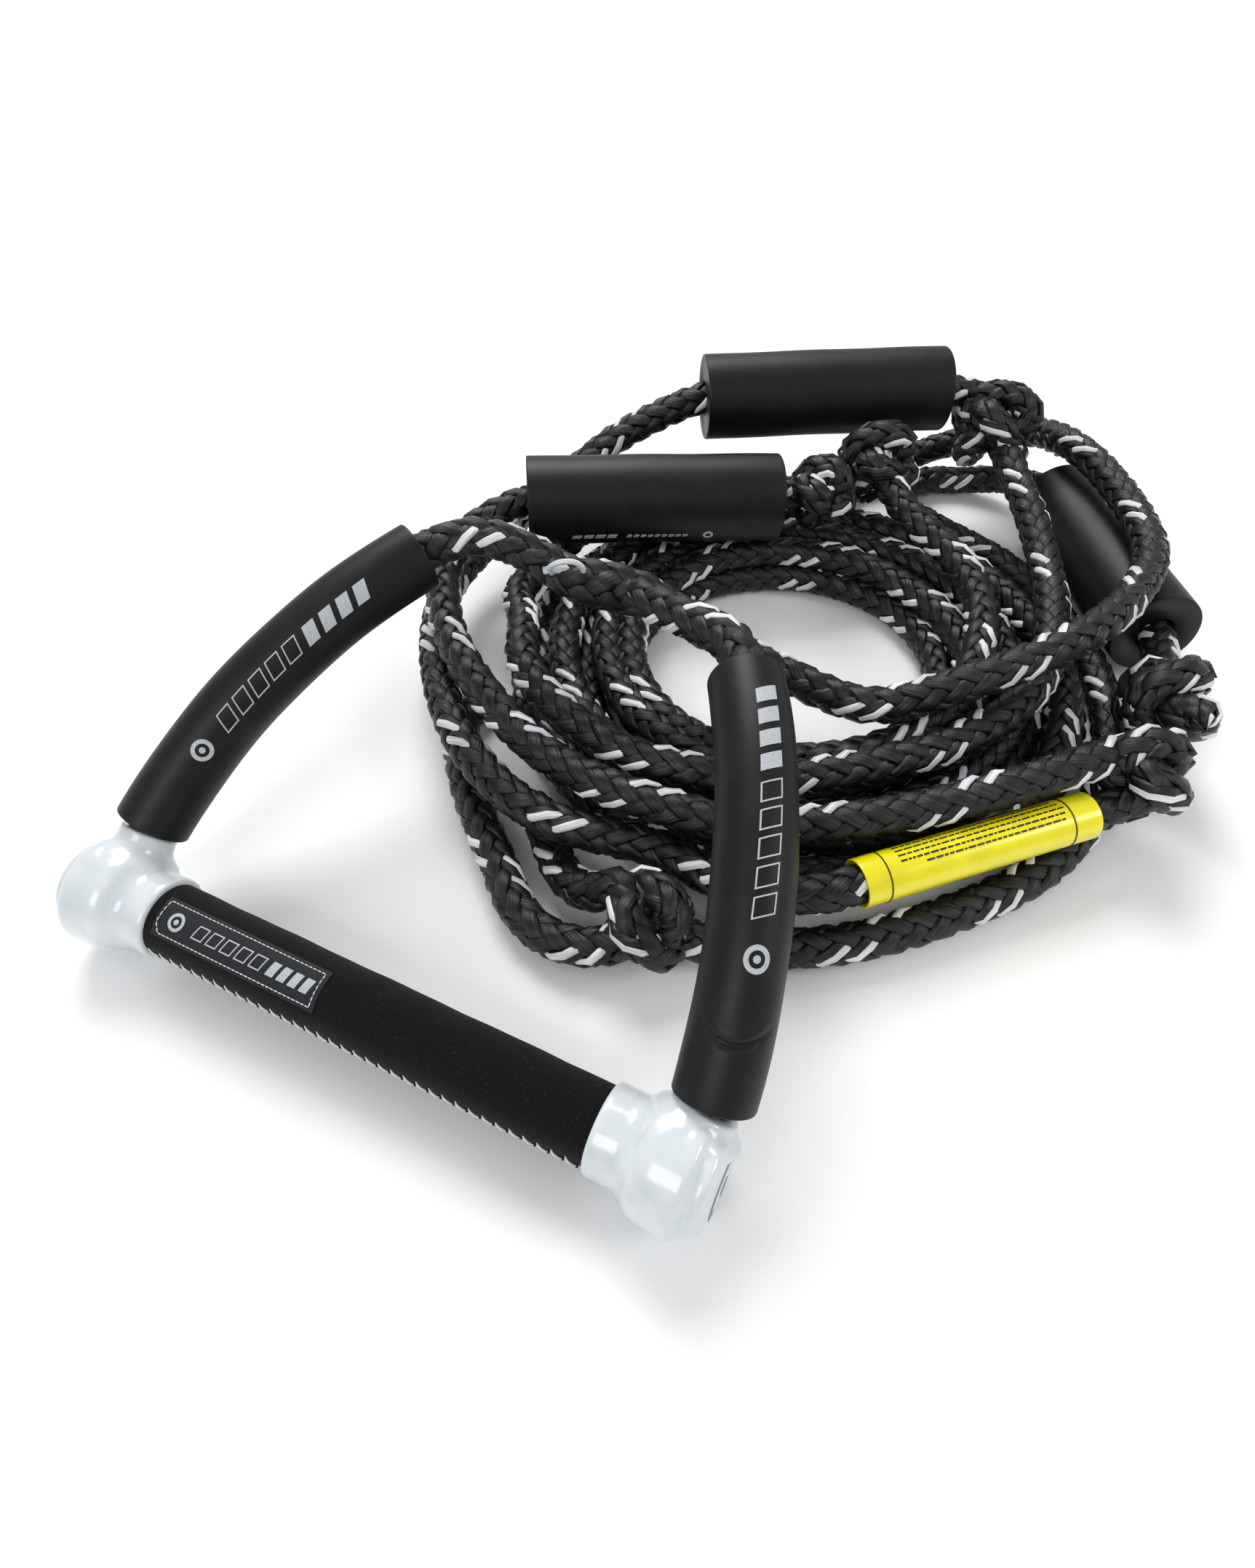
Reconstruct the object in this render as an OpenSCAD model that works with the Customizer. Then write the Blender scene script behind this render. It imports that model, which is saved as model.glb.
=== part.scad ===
// Wakesurf tow rope with its handle, laid down coiled.
// The origin is on the floor under the middle of the bar, X runs along the bar and Z is up.

/* [Handle] */
// Length of the wrapped grip between the two end caps
grip_len = 184; // [170:2:198]
// Outer diameter of the grip wrap
grip_d = 28; // [27:0.5:29]
// Outer diameter of the aluminium tube
tube_d = 25.4; // [24:0.2:26]
// Wall of the aluminium tube
tube_wall = 1.6; // [1:0.1:3]
// Largest diameter of each end cap
cap_d = 44; // [43:0.5:46]
// Diameter of each end cap where it grips the tube
cap_sleeve_d = 31.6; // [30:0.2:34]

/* [Rope] */
// Diameter of the braided rope
rope_d = 17; // [15:0.5:17]
// Number of sides on the plain rope tubes
rope_sides = 8; // [8:1:12]
// Inner diameter of the coil
coil_bore = 125; // [120:1:128]
// Outer diameter of the coil
coil_d = 282; // [270:1:283]

/* [Foam pieces] */
// Outer diameter of the two floats on the bridle
float_d = 28; // [24:0.5:29]
// Bore of every foam piece
foam_bore = 19; // [18.5:0.1:20]
// Outer diameter of the three grips along the rope
rope_grip_d = 44; // [38:0.5:44]

/* [Safety sleeve] */
// Outer diameter of the yellow sleeve
sleeve_d = 19.4; // [19:0.1:20]
// Bore of the yellow sleeve
sleeve_bore = 18; // [17.8:0.1:18.2]

/* [Hidden] */
$fn = 48;

bar_z = cap_d / 2;                  // height of the bar's axis above the floor
bar_y = -3;                         // the necks stand out behind the bar, so it is moved forward
grip_half = grip_len / 2;
neck_x = grip_half + 26;            // where each rope leaves its cap
cap_end = grip_half + 37;           // outer face of each cap, where its button starts
chamber_r = 16.2;                   // room for the stopper knot inside a cap
wall_clear = 0.3;                   // gap round anything that slides or turns
rope_r = rope_d / 2;

// Axes of the straight grips and of the sleeve, from end to end
front_grip_axis = [[-83, 259, 58], [29, 326, 53]];
back_grip_axis = [[-32, 369, 75], [84, 437, 75]];
side_grip_axis = [[227, 331, 28], [163, 439, 25]];
sleeve_axis = [[139, 121, 30], [213, 195, 30]];

// Start, middle and end of each bent bridle float's axis
left_float_axis = [[-117, 21, 39], [-97, 81, 77], [-65, 147, 101]];
right_float_axis = [[123, 15, 38], [112, 67, 77], [80, 138, 98]];

// Centre of the coil on the floor, and the centres and radii of the knots
coil_centre = [70, 251];
front_knot_at = [50, 338, 55];
front_outer_knot_at = [69, 378, 57];
back_knot_at = [118, 438, 59];
side_upper_knot_at = [233, 267, 39];
side_lower_knot_at = [229, 220, 38];
loop_knot_at = [72, 77, 21];
splice_ends = [[-10, 176, 88], [20, 185, 81]];

// Routes of the rope where it isn't wound in the coil
left_leg_route = concat([[-118, 4, 27]], arc_points(left_float_axis, 6, 6),
    [[-49, 166, 103], [-32, 173, 97], [-11, 176, 88]]);
right_leg_route = concat([[120, 4, 28]], arc_points(right_float_axis, 6, 6),
    [[69, 154, 98], [57, 161, 96], [19, 175, 89]]);
main_route = [[18, 187, 81], [46, 197, 62], [80, 203, 47], [118, 202, 46], [150, 219, 57],
    [184, 254, 64], [204, 297, 63], [210, 351, 60], [181, 415, 59], [160, 438, 59],
    [138, 467, 47], [110, 476, 33], [80, 471, 19], [58, 448, 10], [38, 420, 9],
    [4, 399, 12], [-34, 366, 23], [-62, 318, 26], [-72, 264, 26], [-69, 222, 30], [-50, 195, 37]];
sleeve_route = [[103, 446, 71], [84, 437, 75], [-32, 369, 75], [-66, 337, 61], [-94, 293, 38],
    [-107, 249, 29], [-102, 203, 29], [-74, 154, 29], [-30, 114, 29], [14, 99, 28],
    [62, 107, 24], [98, 102, 27], [130, 112, 30], [220, 202, 30], [227, 211, 33]];
upper_route = [[40, 333, 54], [29, 326, 53], [-83, 259, 58], [-99, 233, 53], [-98, 203, 48],
    [-72, 165, 46], [-38, 140, 42], [2, 121, 40], [46, 115, 41], [92, 122, 40], [136, 146, 41],
    [180, 182, 44], [214, 216, 46]];
inner_route = [[-50, 195, 37], [-32, 165, 42], [0, 143, 42], [46, 135, 41], [92, 147, 41],
    [132, 176, 41], [164, 213, 41], [180, 257, 41], [177, 309, 41], [158, 367, 45], [126, 424, 57]];
lower_route = [[84, 79, 14], [104, 87, 9], [140, 106, 9], [176, 139, 9], [206, 179, 9],
    [220, 223, 9], [221, 265, 9], [212, 303, 9], [196, 334, 9],
    [174, 363, 9], [146, 387, 9], [100, 408, 9]];
side_route = [[233, 279, 37], [231, 305, 31], [227, 331, 28], [163, 439, 25], [150, 456, 21],
    [130, 465, 15], [106, 464, 9], [86, 454, 9], [78, 437, 9], [83, 419, 9], [100, 408, 9]];
crossing_route = [[73, 371, 55], [94, 349, 49], [126, 329, 42], [146, 297, 41], [152, 263, 41]];
loop_near_route = [[60, 80, 30], [44, 80, 18], [26, 90, 9], [-6, 122, 9]];
loop_far_route = [[60, 64, 13], [42, 59, 10], [22, 64, 9], [0, 82, 9], [-40, 119, 9], [-58, 147, 9],
    [-56, 170, 9]];

// A direction of unit length
function unit(v) = v / norm(v);
// The direction of a route at point i, the mean of the two stretches that meet there
function heading(route, i) =
    i == 0 ? unit(route[1] - route[0]) :
    i == len(route) - 1 ? unit(route[i] - route[i - 1]) :
    unit(unit(route[i] - route[i - 1]) + unit(route[i + 1] - route[i]));
// The last ring's side direction, turned as little as possible to suit a new heading
function carried(side, h) = unit(side - (side * h) * h);
// The side direction at point i, carried along the route from its first point
function side_at(route, i) =
    i == 0 ? carried([0.3, 0.2, 1], heading(route, 0)) :
    carried(side_at(route, i - 1), heading(route, i));
// One ring of a tube round point i
function ring(route, i, r, n) =
    let (h = heading(route, i), u = side_at(route, i), v = cross(h, u))
    [for (k = [0 : n - 1]) route[i] + r * (cos(360 * k / n) * u + sin(360 * k / n) * v)];

// A rope tube: one ring of points at each point of its route, closed at both ends
module rope_tube(route, r = rope_r, n = rope_sides) {
    last = len(route) - 1;
    points = [for (i = [0 : last]) each ring(route, i, r, n)];
    sides = [for (i = [0 : last - 1], k = [0 : n - 1])
        [i * n + k, i * n + (k + 1) % n, (i + 1) * n + (k + 1) % n, (i + 1) * n + k]];
    start_cap = [[for (k = [n - 1 : -1 : 0]) k]];
    end_cap = [[for (k = [0 : n - 1]) last * n + k]];
    flipped = [for (f = concat(sides, start_cap, end_cap)) [for (k = [len(f) - 1 : -1 : 0]) f[k]]];
    polyhedron(points, flipped);
}

// Children made along Z are laid along the line from one point to another
module along(axis) {
    d = axis[1] - axis[0];
    translate(axis[0]) rotate([0, acos(d[2] / norm(d)), atan2(d[1], d[0])]) children();
}

// A straight foam or plastic tube round the rope
module straight_tube(axis, d, bore) {
    length = norm(axis[1] - axis[0]);
    along(axis) rotate_extrude() polygon([
        [bore / 2, 0], [d / 2 - 1.5, 0], [d / 2, 1.5],
        [d / 2, length - 1.5], [d / 2 - 1.5, length], [bore / 2, length]
    ]);
}

// The centre of the circle through three points
function arc_centre(p) =
    let (u = p[1] - p[0], v = p[2] - p[0], w = cross(u, v))
    p[0] + (cross(w, u) * (v * v) + cross(v, w) * (u * u)) / (2 * (w * w));

// The axis of that arc, the way it turns from the first point to the last
function arc_axis(p) = unit(cross(p[1] - p[0], p[2] - p[0]));
// How many degrees it turns
function arc_turn(p) = let (c = arc_centre(p)) acos(unit(p[0] - c) * unit(p[2] - c));
// Points along the arc, from its first point to some length beyond its last
function arc_points(p, extra, steps) =
    let (c = arc_centre(p), x = p[0] - c, y = cross(arc_axis(p), x),
        whole_turn = arc_turn(p) + extra / norm(x) * 180 / PI)
    [for (i = [0 : steps]) let (a = whole_turn * i / steps) c + cos(a) * x + sin(a) * y];

// A foam tube bent round the arc through three points
module bent_tube(p, d, bore) {
    c = arc_centre(p);
    x = unit(p[0] - c);
    z = arc_axis(p);
    y = cross(z, x);
    turn = arc_turn(p);
    multmatrix([
        [x[0], y[0], z[0], c[0]],
        [x[1], y[1], z[1], c[1]],
        [x[2], y[2], z[2], c[2]],
        [0, 0, 0, 1]
    ])
    rotate_extrude(angle = turn) translate([norm(p[0] - c), 0]) difference() {
        circle(d = d);
        circle(d = bore);
    }
}

// A plain knot: a ball with the rope's ends running into it
module knot(at, r) {
    translate(at) sphere(r = r);
}

// Children are turned so that +Z runs outwards along the bar, on the side s (-1 left, 1 right)
module bar_end(s) {
    translate([0, bar_y, bar_z]) rotate([0, s * 90, 0]) children();
}

// An end cap: a sleeve on the tube, a bulge round the knot chamber and a neck for the rope
module end_cap(s) {
    cap_r = cap_d / 2;
    sleeve_r = cap_sleeve_d / 2;
    color("white") difference() {
        union() {
            bar_end(s) rotate_extrude() polygon(concat(
                [[0, grip_half], [sleeve_r - 1, grip_half], [sleeve_r, grip_half + 1],
                    [sleeve_r, grip_half + 12]],
                [for (t = [10 : 10 : 80]) [sleeve_r + (cap_r - sleeve_r) * (1 - cos(t * 2)) / 2,
                    grip_half + 12 + t / 10]],
                [[cap_r, grip_half + 21], [cap_r, grip_half + 32], [cap_r - 0.8, grip_half + 34],
                    [cap_r - 2.5, cap_end], [0, cap_end]]
            ));
            neck(s, 10.6, -3.2);
        }
        bar_end(s) {
            translate([0, 0, grip_half - 1]) cylinder(d = tube_d + 0.1, h = 18);
            translate([0, 0, grip_half + 16.9]) cylinder(r = chamber_r, h = 30);
        }
        neck(s, rope_r + wall_clear, 10);
    }
}

// A round boss from the bar's axis towards the float, which stops a little before or past its end
module neck(s, r, extra) {
    inner = [s * neck_x, bar_y, bar_z];
    outer = s < 0 ? left_float_axis[0] : right_float_axis[0];
    along([inner, outer]) cylinder(r = r, h = norm(outer - inner) + extra);
}

// A domed button that closes the outer end of a cap, hollowed for the knot behind it
module end_button(s) {
    rim_r = cap_d / 2 - 3.4;
    color("white") difference() {
        bar_end(s) rotate_extrude() polygon(concat(
            [[0, cap_end + 1.6], [13, cap_end + 1.6], [13, cap_end - 0.5], [chamber_r - 0.1, cap_end - 0.5],
                [chamber_r - 0.1, cap_end], [rim_r, cap_end], [rim_r, cap_end + 2]],
            [for (t = [15 : 15 : 90]) [rim_r - 5 + 5 * cos(t), cap_end + 2 + 3 * sin(t)]],
            [[0, cap_end + 6]]
        ));
        neck(s, rope_r + wall_clear, 10);
    }
}

module handle_tube() {
    color("silver") translate([0, bar_y, bar_z]) rotate([0, 90, 0]) difference() {
        cylinder(d = tube_d, h = grip_len + 33, center = true);
        cylinder(d = tube_d - 2 * tube_wall, h = grip_len + 40, center = true);
    }
}

module tube_foam_core() {
    color("lightgray") translate([0, bar_y, bar_z]) rotate([0, 90, 0])
        cylinder(d = tube_d - 2 * tube_wall, h = grip_len + 20, center = true);
}

module grip_wrap() {
    color([0.07, 0.07, 0.07]) translate([0, bar_y, bar_z]) rotate([0, 90, 0]) difference() {
        cylinder(d = grip_d, h = grip_len, center = true);
        cylinder(d = tube_d, h = grip_len + 2, center = true);
    }
}

// The cloth label sewn on the grip near its left end, part of a ring round the wrap
module grip_label() {
    color([0.05, 0.06, 0.1]) translate([0, bar_y, bar_z]) rotate([0, -90, 0])
        translate([0, 0, 14]) rotate([0, 0, -53]) rotate_extrude(angle = 63)
        translate([grip_d / 2, 0]) square([0.6, 74]);
}

// The row of stitches that closes the wrap along its lower front edge
module grip_lacing() {
    pitch = 5.2;
    half_count = floor((grip_half - 4) / pitch);
    color("white") translate([0, bar_y, bar_z])
        for (i = [-half_count : half_count])
            rotate([12, 0, 0]) translate([i * pitch, -grip_d / 2 - 0.1, 0])
            rotate([0, 52, 0]) cylinder(d = 0.9, h = 4.4, center = true, $fn = 16);
}

module left_end_cap() { end_cap(-1); }
module right_end_cap() { end_cap(1); }
module left_end_button() { end_button(-1); }
module right_end_button() { end_button(1); }

// The knots inside the caps, which keep the rope from pulling out
module left_stopper_knot() {
    color([0.1, 0.1, 0.1]) knot([-neck_x, bar_y, bar_z], 12);
}
module right_stopper_knot() {
    color([0.1, 0.1, 0.1]) knot([neck_x, bar_y, bar_z], 12);
}

module left_bridle_rope() { color([0.1, 0.1, 0.1]) rope_tube(left_leg_route); }
module right_bridle_rope() { color([0.1, 0.1, 0.1]) rope_tube(right_leg_route); }
module left_bridle_float() {
    color([0.15, 0.15, 0.16]) bent_tube(left_float_axis, float_d, foam_bore);
}
module right_bridle_float() {
    color([0.15, 0.15, 0.16]) bent_tube(right_float_axis, float_d, foam_bore);
}

// Where both legs of the bridle are woven into the main rope
module bridle_splice() {
    length = norm(splice_ends[1] - splice_ends[0]);
    color([0.1, 0.1, 0.1]) along(splice_ends) rotate_extrude() polygon([
        [0, 0], [8.5, 0], [11.5, 6], [11.5, length - 8], [8.5, length], [0, length]
    ]);
}

module main_rope() { color([0.1, 0.1, 0.1]) rope_tube(main_route); }
module inner_rope() { color([0.1, 0.1, 0.1]) rope_tube(inner_route); }
module upper_rope() { color([0.1, 0.1, 0.1]) rope_tube(upper_route); }
module lower_rope() { color([0.1, 0.1, 0.1]) rope_tube(lower_route); }
module sleeve_rope() { color([0.1, 0.1, 0.1]) rope_tube(sleeve_route); }
module side_rope() { color([0.1, 0.1, 0.1]) rope_tube(side_route); }
module crossing_rope() { color([0.1, 0.1, 0.1]) rope_tube(crossing_route); }

// The two sides of the loop that hooks on the boat, which run under the coil
module boat_loop() {
    color([0.1, 0.1, 0.1]) {
        rope_tube(loop_near_route);
        rope_tube(loop_far_route);
    }
}

// Seven turns in two layers, as one solid of their outer shape
module rope_coil() {
    r_in = coil_bore / 2;
    r_out = coil_d / 2;
    top = 30.5;
    color([0.1, 0.1, 0.1]) translate([coil_centre[0], coil_centre[1], 0]) rotate_extrude($fn = 72)
        polygon([
            [r_in + 3, 0], [r_out - 3, 0], [r_out, 4], [r_out, 9],
            [r_out - 10, 26], [r_out - 15, top], [r_in + 14.5, top], [r_in + 10, 26],
            [r_in, 9], [r_in, 4]
        ]);
}

module safety_sleeve() {
    length = norm(sleeve_axis[1] - sleeve_axis[0]);
    color("gold") along(sleeve_axis) difference() {
        cylinder(d = sleeve_d, h = length);
        translate([0, 0, -1]) cylinder(d = sleeve_bore, h = length + 2);
    }
}

module front_rope_grip() {
    color([0.15, 0.15, 0.16]) straight_tube(front_grip_axis, rope_grip_d, foam_bore);
}
module back_rope_grip() {
    color([0.15, 0.15, 0.16]) straight_tube(back_grip_axis, rope_grip_d, foam_bore);
}
module side_rope_grip() {
    color([0.15, 0.15, 0.16]) straight_tube(side_grip_axis, rope_grip_d, foam_bore);
}

module front_knot() { color([0.1, 0.1, 0.1]) knot(front_knot_at, 19); }
module front_outer_knot() { color([0.1, 0.1, 0.1]) knot(front_outer_knot_at, 22); }
module back_knot() { color([0.1, 0.1, 0.1]) knot(back_knot_at, 25); }
module side_upper_knot() { color([0.1, 0.1, 0.1]) knot(side_upper_knot_at, 23); }
module side_lower_knot() { color([0.1, 0.1, 0.1]) knot(side_lower_knot_at, 21); }
module loop_knot() { color([0.1, 0.1, 0.1]) knot(loop_knot_at, 20); }

handle_tube();
tube_foam_core();
grip_wrap();
grip_label();
grip_lacing();
left_end_cap();
right_end_cap();
left_end_button();
right_end_button();
left_stopper_knot();
right_stopper_knot();
left_bridle_rope();
right_bridle_rope();
left_bridle_float();
right_bridle_float();
bridle_splice();
main_rope();
rope_coil();
inner_rope();
upper_rope();
lower_rope();
sleeve_rope();
safety_sleeve();
side_rope();
crossing_rope();
boat_loop();
front_rope_grip();
back_rope_grip();
side_rope_grip();
front_knot();
front_outer_knot();
back_knot();
side_upper_knot();
side_lower_knot();
loop_knot();
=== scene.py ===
# %% [markdown]
# A wakesurf tow rope with its handle, laid down in a coil.
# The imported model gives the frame: where every solid is and which body it rides on.
# All that this file adds is looks, so the first step is to load that frame and keep its size.

# %% Load the frame
import math

import bmesh
import bpy
import numpy as np
from mathutils import Matrix


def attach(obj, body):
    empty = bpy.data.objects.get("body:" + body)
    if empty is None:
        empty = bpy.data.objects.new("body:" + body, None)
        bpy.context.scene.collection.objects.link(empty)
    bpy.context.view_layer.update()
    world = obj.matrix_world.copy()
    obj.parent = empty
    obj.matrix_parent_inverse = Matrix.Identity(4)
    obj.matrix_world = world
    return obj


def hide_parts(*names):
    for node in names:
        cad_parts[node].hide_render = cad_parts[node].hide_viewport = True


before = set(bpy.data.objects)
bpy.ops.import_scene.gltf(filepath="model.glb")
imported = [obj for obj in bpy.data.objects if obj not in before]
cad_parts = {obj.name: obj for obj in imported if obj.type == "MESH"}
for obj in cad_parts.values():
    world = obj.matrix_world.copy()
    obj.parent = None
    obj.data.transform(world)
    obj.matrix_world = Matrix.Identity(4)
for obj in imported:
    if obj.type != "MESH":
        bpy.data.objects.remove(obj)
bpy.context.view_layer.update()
MM = 0.001
print("nodes in the frame:", len(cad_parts))

# %% [markdown]
# Sizes of the object are in millimetres, because rope, foam and thread are sold that way. Only
# the camera, the lamps and the floor are placed in metres. Nearly every surface of this model is
# a grid of points: rows along a rope or a tube, columns round it. Such a grid could be made with
# Blender's own primitives and modifiers, but worked out as an array it keeps exact sizes and can
# be measured before it is a mesh. The helpers below join a grid into faces, turn arrays into a
# mesh object, and turn a hex colour, as a paint chart gives it, into the linear numbers that
# Blender mixes light in.


# %% Helpers for meshes and colours
def make_piece(name, points_mm, faces, materials, body="root", uv=None, face_material=None, smooth=True):
    """A mesh object at the origin from points in mm, with its UV map, materials and body."""
    mesh = bpy.data.meshes.new(name)
    mesh.from_pydata((np.asarray(points_mm) * MM).tolist(), [], [list(f) for f in faces])
    if uv is not None:
        corner = np.empty(len(mesh.loops), dtype=np.int32)
        mesh.loops.foreach_get("vertex_index", corner)
        layer = mesh.uv_layers.new(name="UVMap")
        layer.data.foreach_set("uv", np.asarray(uv, dtype=np.float32)[corner].ravel())
    for material in materials:
        mesh.materials.append(material)
    if face_material is not None:
        mesh.polygons.foreach_set("material_index", np.asarray(face_material, dtype=np.int32))
    mesh.polygons.foreach_set("use_smooth", np.full(len(mesh.polygons), smooth))
    mesh.update()
    piece = bpy.data.objects.new(name, mesh)
    bpy.context.scene.collection.objects.link(piece)
    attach(piece, body)
    print(f"{name}: {len(mesh.polygons)} faces")
    return piece


def unit(vectors):
    """Each vector at a length of 1."""
    return vectors / np.linalg.norm(vectors, axis=-1, keepdims=True)


def linear(hex_colour):
    """sRGB hex to linear RGBA: low values are divided by 12.92, the rest is a power of 2.4."""
    srgb = np.array([int(hex_colour[i:i + 2], 16) for i in (1, 3, 5)]) / 255
    value = np.where(srgb <= 0.04045, srgb / 12.92, ((srgb + 0.055) / 1.055) ** 2.4)
    return (*value.tolist(), 1.0)


def quad_faces(rows, columns, close_rows=False, close_columns=True):
    """Quads over a grid of points, row by row, joined round the columns and, if asked, round the rows."""
    r = np.arange(rows if close_rows else rows - 1)
    c = np.arange(columns if close_columns else columns - 1)
    r, c = np.meshgrid(r, c, indexing="ij")
    row, next_row = r * columns, (r + 1) % rows * columns
    next_c = (c + 1) % columns
    return np.stack([row + c, row + next_c, next_row + next_c, next_row + c], -1).reshape(-1, 4)


def closed_tube_faces(rows, columns, start=0):
    """Quads round a tube and one flat face over each end, for points numbered from start."""
    ring = np.arange(columns)
    ends = [ring[::-1], (rows - 1) * columns + ring]
    return (quad_faces(rows, columns) + start).tolist() + [(end + start).tolist() for end in ends]


def ring_angles(count):
    """Equal angles once round a circle, without the last one, which is the first again."""
    return np.linspace(0, 2 * np.pi, count, endpoint=False)


# %% [markdown]
# Rope follows a route. The model's routes are a few listed points, in the frame's own
# millimetres. A centripetal Catmull-Rom spline runs through all of them without loops or
# overshoot, which a plain one makes where a short stretch meets a long one. The line is then cut
# into equal steps, so that a braid laid along it keeps its pitch.


# %% Smooth routes
SPLINE_STEPS = 24   # points between two of a route's own, before the line is cut into equal steps


def distance_along(line):
    """The distance from a line's start to each of its points: the running sum of its steps."""
    return np.concatenate([[0], np.cumsum(np.linalg.norm(np.diff(line, axis=0), axis=1))])


def read_at(stations, along, values):
    """Vectors known at some distances along a line, read in between at other stations."""
    return np.stack([np.interp(stations, along, values[:, i]) for i in range(3)], axis=-1)


def resample(points, step):
    """Points at equal steps of arc length along a polyline."""
    points = np.asarray(points, dtype=float)
    along = distance_along(points)
    even = np.linspace(0, along[-1], max(3, int(round(along[-1] / step)) + 1))
    return read_at(even, along, points)


def smooth_route(points, step):
    """A centripetal Catmull-Rom spline: four points at a time, with knots a root of the distance apart."""
    p = np.asarray(points, dtype=float)
    p = np.vstack([2 * p[0] - p[1], p, 2 * p[-1] - p[-2]])
    quads = np.stack([p[:-3], p[1:-2], p[2:-1], p[3:]], axis=1)[:, :, None, :]
    gaps = np.sqrt(np.linalg.norm(np.diff(quads, axis=1), axis=-1))
    knots = np.concatenate([np.zeros_like(gaps[:, :1]), np.cumsum(gaps, axis=1)], axis=1)[..., None]
    k0, k1, k2, k3 = (knots[:, i] for i in range(4))
    q0, q1, q2, q3 = (quads[:, i] for i in range(4))
    t = k1 + (k2 - k1) * np.linspace(0, 1, SPLINE_STEPS, endpoint=False)[None, :, None]
    a1 = (k1 - t) / (k1 - k0) * q0 + (t - k0) / (k1 - k0) * q1
    a2 = (k2 - t) / (k2 - k1) * q1 + (t - k1) / (k2 - k1) * q2
    a3 = (k3 - t) / (k3 - k2) * q2 + (t - k2) / (k3 - k2) * q3
    b1 = (k2 - t) / (k2 - k0) * a1 + (t - k0) / (k2 - k0) * a2
    b2 = (k3 - t) / (k3 - k1) * a2 + (t - k1) / (k3 - k1) * a3
    line = ((k2 - t) / (k2 - k1) * b1 + (t - k1) / (k2 - k1) * b2).reshape(-1, 3)
    return resample(np.vstack([line, p[-2]]), step)


def frames(line):
    """At each point of a line: a level sideways direction, and the one square to it and the line."""
    forward = unit(np.gradient(line, axis=0))
    side = unit(np.cross(forward, [0.0, 0.0, 1.0]))
    return side, np.cross(side, forward)


def arc_route(first, middle, last, extra, steps):
    """Points on the circle through three points, from the first to some length beyond the last."""
    p0, p1, p2 = (np.array(p, dtype=float) for p in (first, middle, last))
    u, v = p1 - p0, p2 - p0
    w = np.cross(u, v)
    centre = p0 + (np.cross(w, u) * (v @ v) + np.cross(v, w) * (u @ u)) / (2 * (w @ w))
    x = p0 - centre
    y = np.cross(unit(w), x)
    turn = math.acos(unit(x) @ unit(p2 - centre)) + extra / np.linalg.norm(x)
    a = np.linspace(0, turn, steps + 1)[:, None]
    return centre + np.cos(a) * x + np.sin(a) * y


# %% [markdown]
# The camera comes first, because everything else is judged from where it stands. It looks down
# at the handle from the front right, a little under 50 degrees above the floor, with a wide lens
# close by, so the end cap in front looks bigger than the one behind. A camera could be aimed with
# a constraint, but its three axes in a matrix say exactly where it stands and can be checked.


# %% Camera
def standing(x, y, z, place):
    """An object's matrix: its columns are the object's three axes and its place."""
    matrix = np.eye(4)
    matrix[:3] = np.stack([x, y, z, place], axis=1)
    return Matrix(matrix.tolist())


CAMERA_PLACE = (0.152, -0.107, 0.328)
CAMERA_RIGHT = np.array([0.8994, 0.4371, 0.0])
CAMERA_UP = np.array([-0.3284, 0.6756, 0.6601])

camera_data = bpy.data.cameras.new("camera")
camera_data.sensor_fit = "VERTICAL"
camera_data.sensor_height = 36
camera_data.lens = 21.7
camera_data.clip_start = 0.01
camera = bpy.data.objects.new("camera", camera_data)
bpy.context.scene.collection.objects.link(camera)
right, up = unit(CAMERA_RIGHT), unit(CAMERA_UP)
camera.matrix_world = standing(right, up, np.cross(right, up), CAMERA_PLACE)
bpy.context.scene.camera = camera
print(f"camera {CAMERA_PLACE[2] / MM:.0f} mm above the floor")

# %% [markdown]
# Materials are named for what the real ones are. Each is a Principled shader with a pattern for
# its colour and a fine bump, and each pattern's scale comes from a real size. Noise scale is
# about one over the grain in metres, so grain_scale(0.5) gives specks half a millimetre across.
# Painted images could do the same, but a pattern in the nodes stays sharp however close one looks.


# %% Material helpers
def new_material(name, colour, roughness, **sockets):
    """A Principled material with the constants set on the shader's own sockets."""
    material = bpy.data.materials.new(name)
    material.use_nodes = True
    shader = material.node_tree.nodes["Principled BSDF"]
    shader.inputs["Base Color"].default_value = linear(colour)
    shader.inputs["Roughness"].default_value = roughness
    for socket, value in sockets.items():
        shader.inputs[socket.replace("_", " ")].default_value = value
    return material, material.node_tree, shader


def add_node(tree, kind, settings=None, links=None, values=None):
    """A node with its settings, its linked inputs and its constant inputs."""
    node = tree.nodes.new(kind)
    for key, value in (settings or {}).items():
        setattr(node, key, value)
    for key, value in (values or {}).items():
        node.inputs[key].default_value = value
    for key, socket in (links or {}).items():
        tree.links.new(socket, node.inputs[key])
    return node


def grain_scale(size_mm):
    """The noise scale, on object coordinates in metres, for a grain of this size."""
    return 1 / (size_mm * MM)


def colour_ramp(tree, factor, stops):
    """A ramp from (place, hex colour) pairs."""
    node = add_node(tree, "ShaderNodeValToRGB", links={"Fac": factor})
    ramp = node.color_ramp
    while len(ramp.elements) < len(stops):
        ramp.elements.new(1.0)
    for element, (place, colour) in zip(ramp.elements, stops):
        element.position = place
        element.color = linear(colour)
    return node.outputs["Color"]


def bump(tree, shader, height, strength, distance_mm):
    """Bump of a real height in millimetres."""
    node = add_node(tree, "ShaderNodeBump", links={"Height": height},
                    values={"Strength": strength, "Distance": distance_mm * MM})
    tree.links.new(node.outputs["Normal"], shader.inputs["Normal"])


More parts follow.
